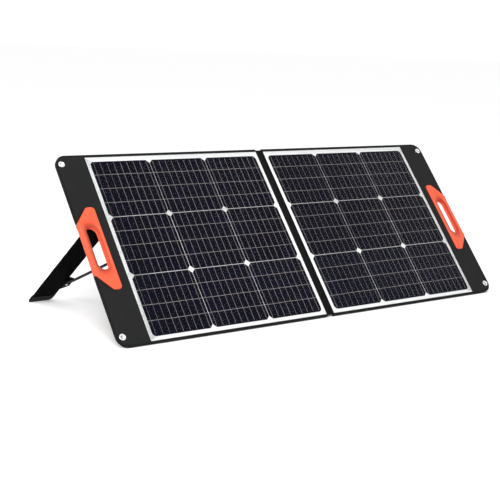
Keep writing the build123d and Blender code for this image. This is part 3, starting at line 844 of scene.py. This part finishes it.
def spine_piece(name, sign, depth):
    """One side of the spine's fabric, at one depth, slightly rippled along its length."""
    points = []
    for row in range(SPINE_ROWS):
        y = blend_of(SPINE_INSET, HEIGHT - SPINE_INSET, row / (SPINE_ROWS - 1))
        for column in range(SPINE_COLUMNS):
            x = SPINE_REACH * column / (SPINE_COLUMNS - 1)
            ripple = noise.noise(Vector((x * 40, y * 45, depth * 900))) * SPINE_RIPPLE
            points.append((x, y, depth + ripple * math.cos(x / SPINE_REACH * math.pi / 2)))
    faces = []
    for row in range(SPINE_ROWS - 1):
        for column in range(SPINE_COLUMNS - 1):
            low = row * SPINE_COLUMNS + column
            faces.append((low, low + 1, low + 1 + SPINE_COLUMNS, low + SPINE_COLUMNS))
    piece = make(name, leaned(points, sign), faces, SPINE_FABRIC, "black_spine_fabric", flip=sign < 0)
    thick = piece.modifiers.new("thickness", "SOLIDIFY")
    thick.thickness = SPINE_T
    thick.offset = 0
    return piece


SPINE_DEPTHS = {"front": reach("spine_front_cover", OUT, FACE), "back": reach("spine_back_cover", OUT, FACE)}
for level, (low, high) in SPINE_DEPTHS.items():
    depth = (low + high) / 2
    for side, sign in SIDES:
        piece = spine_piece(f"{side}_spine_{level}_fabric", sign, depth)
        start, end = leaned([(SPINE_START, HEIGHT / 2, depth), (SPINE_END, HEIGHT / 2, depth)], sign)
        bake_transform(piece)
        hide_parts(f"spine_{level}_cover")
        flat = (SPINE_REACH, HEIGHT - 2 * SPINE_INSET)
print("spine fabric at", [round(sum(pair) * 500, 2) for pair in SPINE_DEPTHS.values()], "mm")

# %% [markdown]
# ## Sewn rows
# A lockstitch shows as short capsules of thread, a little apart, that sink at both ends. The same maker
# sews round the bound edge of each board, front and back, and boxes in the straps' anchors.

# %% Stitches
STITCH_PITCH = 4.2 * MM
STITCH_L = 3.2 * MM
STITCH_R = 0.35 * MM
STITCH_SIDES = 6
STITCH_SINK = 0.9
SEAM_INSET = 1.35 * MM
SEAM_CORNER = 27.6 * MM
SEAM_FRONT = 0.3 * MM
SEAM_BACK = -9.3 * MM
FOLD_SIDE = 9.8 * MM
HANDLE_REACH = 12 * MM
HANDLE_CLEAR = 6 * MM
STITCH_RINGS = ((-0.5, 0.25), (-0.32, 0.85), (0.0, 1.0), (0.32, 0.85), (0.5, 0.25))


def sew(name, runs, body, sign):
    """Stitches along runs of flat points, two points to a stitch. Each run is (points, depth, way)."""
    points = []
    faces = []
    for run, depth, way in runs:
        for a, b in zip(run[::2], run[1::2]):
            along = (b - a).normalized()
            beside = Vector((-along.y, along.x))
            middle = (a + b) / 2
            first = len(points)
            for place, share in STITCH_RINGS:
                centre = middle + along * (STITCH_L * place)
                for k in range(STITCH_SIDES):
                    angle = TURN * k / STITCH_SIDES
                    flat = centre + beside * (STITCH_R * share * math.cos(angle))
                    sink = depth + way * STITCH_R * (share * math.sin(angle) + share - STITCH_SINK)
                    points.append((flat.x, flat.y, sink))
            tube = tube_faces(len(STITCH_RINGS), STITCH_SIDES, False)
            faces += [tuple(first + k for k in face) for face in tube]
            last = first + (len(STITCH_RINGS) - 1) * STITCH_SIDES
            faces.append(tuple(first + k for k in range(STITCH_SIDES))[::-1])
            faces.append(tuple(last + k for k in range(STITCH_SIDES)))
    return make(name, leaned(points, sign), faces, THREAD, "black_binding", body, flip=sign < 0)


def stitch_ends(corners):
    """Points half a stitch pitch apart round a loop, an even number of them."""
    loop = even(rounded(corners, STITCH_PITCH / 2), STITCH_PITCH / 2)
    return loop[: len(loop) // 2 * 2]


def binding_row(inset, corner):
    """Ends of the stitches inside the bound edge, missing out the handle."""
    low = FOLD_SIDE + inset
    high = HALF_W - inset
    top = HEIGHT - inset
    corners = [(high, inset, corner), (high, top, corner), (low, top, MM), (low, inset, MM)]
    loop = stitch_ends(corners)
    kept = []
    for a, b in zip(loop[::2], loop[1::2]):
        if a.x < HALF_W - HANDLE_REACH or abs(a.y - HANDLE_Y) > HANDLE_SIDE + HANDLE_CLEAR:
            kept += [a, b]
    return kept


for side, sign in SIDES:
    row = binding_row(SEAM_INSET, SEAM_CORNER)
    sew(side + "_binding_stitches", [(row, SEAM_FRONT, 1), (row, SEAM_BACK, -1)], side + "_half", sign)
print("one binding has", len(row), "stitches, front and back together")

# %% [markdown]
# ## Hinge flaps
# A hinge flap is webbing that is sewn to the board above the hinge line and to the leg below it. It is hung
# on neither body, so it keeps the shape it has round the standing leg. Its path is drawn from the side, up
# the slope and out of the panel, and a band of one width follows it.

# %% Hinge flaps
FLAP_LOW, FLAP_HIGH = reach("right_leg_hinge_flap", ACROSS)
FLAP_W = FLAP_HIGH - FLAP_LOW
FLAP_X = (FLAP_LOW + FLAP_HIGH) / 2
FLAP_T = 1.4 * MM
FLAP_UP = 32 * MM
FLAP_DOWN = 24 * MM
FLAP_LIFT = 0.9 * MM
FLAP_RIM = 0.55  # the band's edges are this much of its thickness
FLAP_COLUMNS = 9
SEWN_STEP = 3 * MM
SEWN_POINTS = 9
TURN_STEPS = 8
TURN_LEAD = 5 * MM
TURN_RUN_IN = 4 * MM
LAND_AT = 6 * MM
LEG_POINTS = 8
LEG_HALF_T = 3.0 * MM
BEND_ABOVE = 6 * MM
BEND_BELOW = 7 * MM


def band(path, x, width, thick):
    """A band of webbing along a path of (y, z), as closed points and faces."""
    last = FLAP_COLUMNS - 1
    points = []
    normals = left_normals([Vector(p) for p in path])
    normals[0] = Vector((-(path[1][1] - path[0][1]), path[1][0] - path[0][0])).normalized()
    normals[-1] = Vector((-(path[-1][1] - path[-2][1]), path[-1][0] - path[-2][0])).normalized()
    for (y, z), normal in zip(path, normals):
        ring = []
        for level in (0.5, -0.5):
            for k in range(FLAP_COLUMNS) if level > 0 else range(last, -1, -1):
                rim = FLAP_RIM if k in (0, last) else 1.0
                offset = normal * (thick * level * rim)
                ring.append((x + width * (k / last - 0.5), y + offset.x, z + offset.y))
        points += ring
    count = 2 * FLAP_COLUMNS
    faces = tube_faces(len(path), count, False)
    faces.append(tuple(range(count))[::-1])
    faces.append(tuple((len(path) - 1) * count + k for k in range(count)))
    return points, faces


def flap_path(hinge, down):
    """From the board above the hinge, round it, and along the outer side of the standing leg."""
    board_z = BACK - FLAP_LIFT
    outer = Vector((-down.y, down.x))
    if outer.x < 0:
        outer = -outer
    path = [(hinge.x + FLAP_UP - step * SEWN_STEP, board_z) for step in range(SEWN_POINTS)]
    leave = Vector(path[-1])
    lift = outer * (LEG_HALF_T + FLAP_LIFT)
    land = hinge + down * LAND_AT + lift
    for step in range(1, TURN_STEPS):
        share = step / TURN_STEPS
        off_board = leave.lerp(leave + Vector((-TURN_LEAD, 0)), share)
        on_leg = (land - down * TURN_RUN_IN).lerp(land, share)
        path.append(tuple(off_board.lerp(on_leg, ease(share))))
    along_leg = FLAP_DOWN - LAND_AT
    path += [tuple(land + down * (along_leg * k / (LEG_POINTS - 1))) for k in range(LEG_POINTS)]
    return path


for side, sign in SIDES:
    at = TO_FLAT @ Vector(joints[side + "_leg_swing"]["pos_m"])
    hinge = Vector((at.y, at.z))
    foot = [TO_FLAT @ v.co for v in nodes[side + "_leg_foot"].data.vertices]
    foot_middle = sum(foot, Vector()) / len(foot)
    down = (Vector((foot_middle.y, foot_middle.z)) - hinge).normalized()
    path = flap_path(hinge, down)
    points, faces = band(path, FLAP_X, FLAP_W, FLAP_T)
    flap = make(side + "_hinge_webbing", leaned(points, sign), faces, WEBBING, "black_webbing", flip=sign < 0)
    below = hinge + down * BEND_BELOW
    start, end = leaned([(FLAP_X, hinge.x + BEND_ABOVE, BACK), (FLAP_X, below.x, below.y)], sign)
    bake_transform(flap)
    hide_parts(side + "_leg_hinge_flap")
print("hinge flap path has", len(path), "points")

# %% [markdown]
# ## Softening an engineering shape
# Sewn pieces and rubber have no sharp edge. Each one starts as its engineering shape. Its edges are rolled,
# it is cut into small squares, and noise raises its faces a little.

# %% Soften a node
SOFT_STEP = 9 * MM
FLAT_TURN = 0.05  # faces that turn less than this, in radians, are one face
SHARP_TURN = 0.6  # edges that turn more than this, in radians, are rolled
ROLL_STEPS = 3
RIPPLE_WAVES = 60  # per metre


def softened(name, node, run, material, edge_mm, ripple_mm):
    """A copy of a node with rolled edges and slightly uneven faces."""
    soft = bmesh.new()
    soft.from_mesh(nodes[node].data)
    bmesh.ops.remove_doubles(soft, verts=soft.verts, dist=WELD)
    bmesh.ops.dissolve_limit(soft, angle_limit=FLAT_TURN, verts=soft.verts, edges=soft.edges)
    joined = [edge for edge in soft.edges if len(edge.link_faces) == 2]
    sharp = [edge for edge in joined if edge.calc_face_angle(0) > SHARP_TURN]
    roll = {"offset": edge_mm * MM, "segments": ROLL_STEPS, "profile": 0.5, "clamp_overlap": True}
    bmesh.ops.bevel(soft, geom=sharp, affect="EDGES", **roll)
    for direction in (ACROSS, run):
        places = [v.co.dot(direction) for v in soft.verts]
        cut = min(places) + SOFT_STEP
        while cut < max(places):
            slice_at(soft, direction, cut)
            cut += SOFT_STEP
    bmesh.ops.triangulate(soft, faces=[face for face in soft.faces if len(face.verts) > 4])
    soft.normal_update()
    shifts = [v.normal * (noise.noise(v.co * RIPPLE_WAVES) * ripple_mm * MM) for v in soft.verts]
    for v, shift in zip(soft.verts, shifts):
        v.co += shift
    piece = make_from(name, soft, material, SLOT_OF[node])
    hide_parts(node)
    return piece


def span(node, axis):
    """How long a node is along a direction."""
    low, high = reach(node, axis)
    return high - low


print("soft pieces are cut every", SOFT_STEP / MM, "mm")

# %% [markdown]
# ## Legs and straps
# The sleeve of a leg is padded by the stiffener in it, and its foot is rubber. The loop, the anchor and the
# stay strap are flat webbing. A stay strap can't follow its leg, because it goes slack as the leg folds. So
# it is hung on the board, in the shape it has with the leg standing.

# %% Dress the legs and hang the straps
STRAP_W = 20 * MM
TAB_SHARE = 0.76  # a tab tapers, so it fills this much of its rectangle
BOX_INSET = 3 * MM
STOW_LIFT = 1 * MM


def leg_run(side):
    """The direction from a leg's hinge to its foot, seen from the side."""
    foot = [v.co for v in nodes[side + "_leg_foot"].data.vertices]
    run = sum(foot, Vector()) / len(foot) - Vector(joints[side + "_leg_swing"]["pos_m"])
    run.x = 0
    run.normalize()
    return run


def strap_direction(side):
    """The direction from a strap's top end to its low end, seen from the side."""
    ends = [v.co for v in nodes[side + "_stay_strap"].data.vertices]
    top = max(ends, key=lambda p: p.z)
    low = min(ends, key=lambda p: p.z)
    return Vector((0, low.y - top.y, low.z - top.z)).normalized()


def dress_leg(side):
    """Sleeve, foot and strap loop of one leg. Returns the loop."""
    leg = side + "_leg"
    run = leg_run(side)
    sleeve = softened(side + "_leg_cloth", side + "_leg_sleeve", run, LEG_FABRIC, 1.1, 0.5)
    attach(sleeve, leg)
    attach(softened(side + "_rubber_foot", side + "_leg_foot", run, RUBBER, 0.9, 0.05), leg)
    tab = softened(side + "_strap_loop", side + "_leg_strap_tab", run, WEBBING, 0.6, 0.15)
    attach(tab, leg)
    width = span(side + "_leg_strap_tab", ACROSS)
    length = span(side + "_leg_strap_tab", run)
    width * length * TAB_SHARE
    return tab


def hang_strap(side, tab):
    """Anchor on the board, and the strap from it to the leg's loop."""
    half = side + "_half"
    node = side + "_strap_anchor"
    anchor = softened(side + "_anchor_webbing", node, UP, WEBBING, 0.4, 0.1)
    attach(anchor, half)
    flat = (span(node, ACROSS), span(node, UP))
    run = strap_direction(side)
    strap = softened(side + "_stay_webbing", side + "_stay_strap", run, WEBBING, 0.4, 0.15)
    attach(strap, half)
    flat = (STRAP_W, span(side + "_stay_strap", run))
    stowed = PANEL @ Vector((0, 0, BACK - STOW_LIFT))
    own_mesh(strap)


def box_stitch(side, sign):
    """A square of stitches on the anchor of a strap."""
    node = side + "_strap_anchor"
    left, right = sorted(abs(edge) for edge in reach(node, ACROSS))
    bottom, top = sorted(abs(edge) for edge in reach(node, UP, BOTTOM))
    left += BOX_INSET
    right -= BOX_INSET
    bottom += BOX_INSET
    top -= BOX_INSET
    square = stitch_ends([(left, bottom, MM), (right, bottom, MM), (right, top, MM), (left, top, MM)])
    depth = reach(node, OUT, FACE)[0]
    sew(side + "_anchor_stitches", [(square, depth, -1)], side + "_half", sign)


for side, sign in SIDES:
    hang_strap(side, dress_leg(side))
    box_stitch(side, sign)
print("soft pieces made for both sides")
